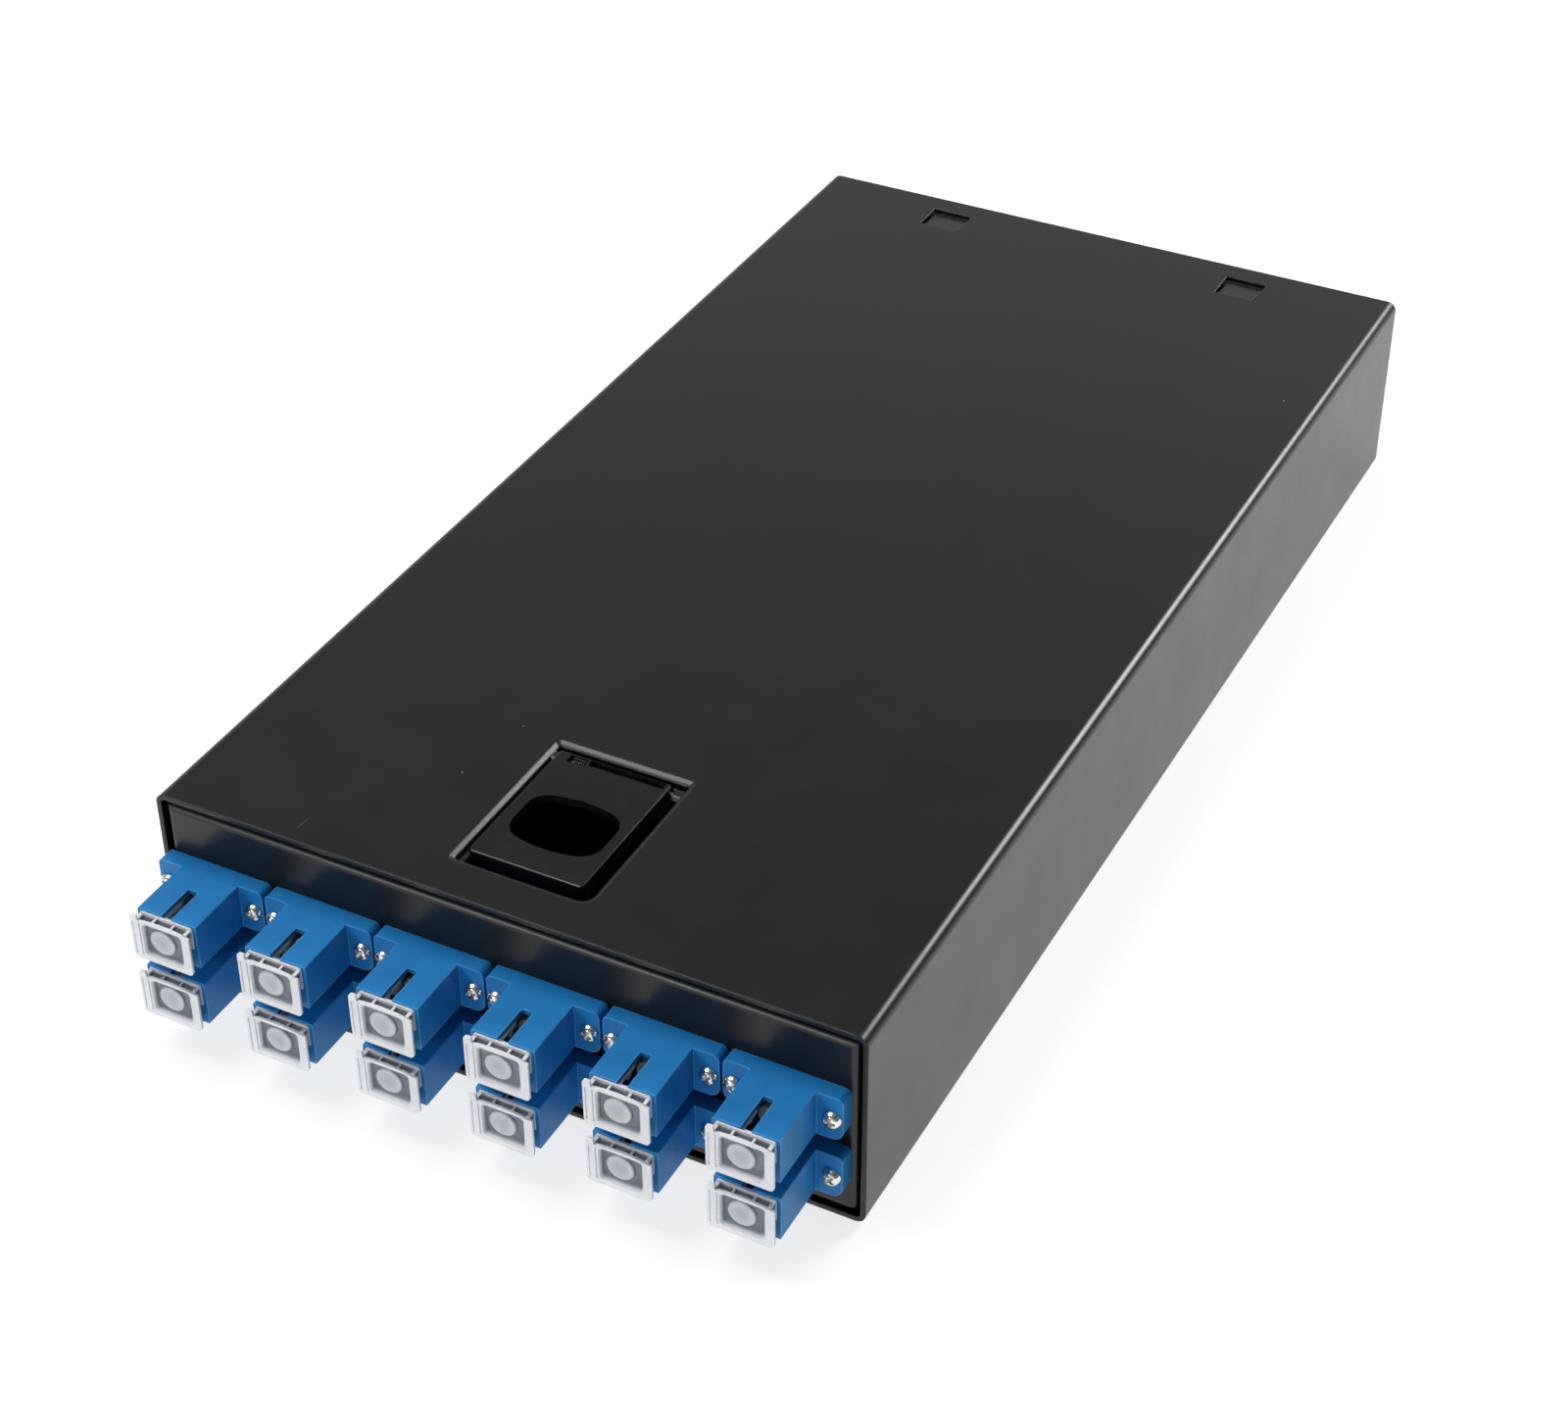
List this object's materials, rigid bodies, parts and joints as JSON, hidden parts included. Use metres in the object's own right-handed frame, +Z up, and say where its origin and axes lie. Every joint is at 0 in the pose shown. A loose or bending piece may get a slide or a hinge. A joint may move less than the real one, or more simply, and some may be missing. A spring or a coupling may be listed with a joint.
{
  "type": "fibre splice box",
  "caption": "Flat black steel sleeve with a pull-out drawer: capped blue adapter ports in two rows on its front, a finger latch on top, splice cassette inside and cable glands behind.",
  "frame": {"origin": "centre of the flat underside of the outer sleeve", "axes": "+X right seen from the port side, +Y from the ports to the cable glands, +Z up"},
  "size_m": [0.14, 0.2982, 0.042],
  "materials": {
    "black_powder_coat": "satin black powder coat with a very fine grain",
    "black_plastic": "moulded black plastic, low sheen",
    "gland_nylon": "black nylon",
    "gland_rubber": "soft black rubber",
    "plain_steel": "bright plain steel",
    "nickel_screw": "nickel plated steel",
    "earth_brass": "plain brass",
    "zinc_steel": "zinc plated sheet steel",
    "adapter_blue": "moulded blue plastic with a fine grain",
    "insert_white": "white engineering plastic",
    "zirconia": "ground white zirconia",
    "cap_clear": "frosted translucent soft plastic",
    "cap_white": "soft white plastic",
    "cassette_grey": "moulded light grey plastic",
    "lid_clear": "clear moulded plastic"
  },
  "bodies": {
    "sleeve": {"outer_sleeve": "black_powder_coat", "latch_pin": "plain_steel"},
    "latch": {"latch_flap": "black_plastic", "latch_spring": "plain_steel"},
    "drawer": {"adapter_01": "adapter_blue", "adapter_02": "adapter_blue", "adapter_03": "adapter_blue", "adapter_04": "adapter_blue", "adapter_05": "adapter_blue", "adapter_06": "adapter_blue", "adapter_07": "adapter_blue", "adapter_08": "adapter_blue", "adapter_09": "adapter_blue", "adapter_10": "adapter_blue", "adapter_11": "adapter_blue", "adapter_12": "adapter_blue", "adapter_inserts": "insert_white", "adapter_screws": "nickel_screw", "alignment_sleeves": "zirconia", "cable_clamp_base": "zinc_steel", "cable_strap_left": "zinc_steel", "cable_strap_right": "zinc_steel", "cassette_lid": "lid_clear", "cassette_screws": "nickel_screw", "cassette_standoffs": "plain_steel", "clamp_screws": "nickel_screw", "drawer_tray": "black_powder_coat", "earth_nut": "earth_brass", "earth_stud": "plain_steel", "gland_body_left": "gland_nylon", "gland_body_right": "gland_nylon", "gland_dome_left": "gland_nylon", "gland_dome_right": "gland_nylon", "gland_locknut_left": "gland_nylon", "gland_locknut_right": "gland_nylon", "gland_seal_left": "gland_rubber", "gland_seal_right": "gland_rubber", "inner_dust_caps": "cap_white", "latch_strike": "black_powder_coat", "splice_cassette": "cassette_grey", "splice_comb": "cassette_grey", "strike_rivets": "plain_steel"},
    "cap_01": {"dust_cap_01": "cap_clear"},
    "cap_02": {"dust_cap_02": "cap_clear"},
    "cap_03": {"dust_cap_03": "cap_clear"},
    "cap_04": {"dust_cap_04": "cap_clear"},
    "cap_05": {"dust_cap_05": "cap_clear"},
    "cap_06": {"dust_cap_06": "cap_clear"},
    "cap_07": {"dust_cap_07": "cap_clear"},
    "cap_08": {"dust_cap_08": "cap_clear"},
    "cap_09": {"dust_cap_09": "cap_clear"},
    "cap_10": {"dust_cap_10": "cap_clear"},
    "cap_11": {"dust_cap_11": "cap_clear"},
    "cap_12": {"dust_cap_12": "cap_clear"}
  },
  "joints": [
    {"name": "drawer_slide", "type": "slide", "parent": "sleeve", "child": "drawer", "axis": [0, -1, 0], "range_m": [0, 0.2]},
    {"name": "latch_hinge", "type": "hinge", "parent": "sleeve", "child": "latch", "pos_m": [0, -0.0919, 0.0405], "axis": [-1, 0, 0], "range_deg": [0, 35], "stiffness_Nm_per_rad": 0.002, "springref_deg": -17.19},
    {"name": "cap_pull_01", "type": "slide", "parent": "drawer", "child": "cap_01", "axis": [0, -1, 0], "range_m": [0, 0.012]},
    {"name": "cap_pull_02", "type": "slide", "parent": "drawer", "child": "cap_02", "axis": [0, -1, 0], "range_m": [0, 0.012]},
    {"name": "cap_pull_03", "type": "slide", "parent": "drawer", "child": "cap_03", "axis": [0, -1, 0], "range_m": [0, 0.012]},
    {"name": "cap_pull_04", "type": "slide", "parent": "drawer", "child": "cap_04", "axis": [0, -1, 0], "range_m": [0, 0.012]},
    {"name": "cap_pull_05", "type": "slide", "parent": "drawer", "child": "cap_05", "axis": [0, -1, 0], "range_m": [0, 0.012]},
    {"name": "cap_pull_06", "type": "slide", "parent": "drawer", "child": "cap_06", "axis": [0, -1, 0], "range_m": [0, 0.012]},
    {"name": "cap_pull_07", "type": "slide", "parent": "drawer", "child": "cap_07", "axis": [0, -1, 0], "range_m": [0, 0.012]},
    {"name": "cap_pull_08", "type": "slide", "parent": "drawer", "child": "cap_08", "axis": [0, -1, 0], "range_m": [0, 0.012]},
    {"name": "cap_pull_09", "type": "slide", "parent": "drawer", "child": "cap_09", "axis": [0, -1, 0], "range_m": [0, 0.012]},
    {"name": "cap_pull_10", "type": "slide", "parent": "drawer", "child": "cap_10", "axis": [0, -1, 0], "range_m": [0, 0.012]},
    {"name": "cap_pull_11", "type": "slide", "parent": "drawer", "child": "cap_11", "axis": [0, -1, 0], "range_m": [0, 0.012]},
    {"name": "cap_pull_12", "type": "slide", "parent": "drawer", "child": "cap_12", "axis": [0, -1, 0], "range_m": [0, 0.012]}
  ]
}
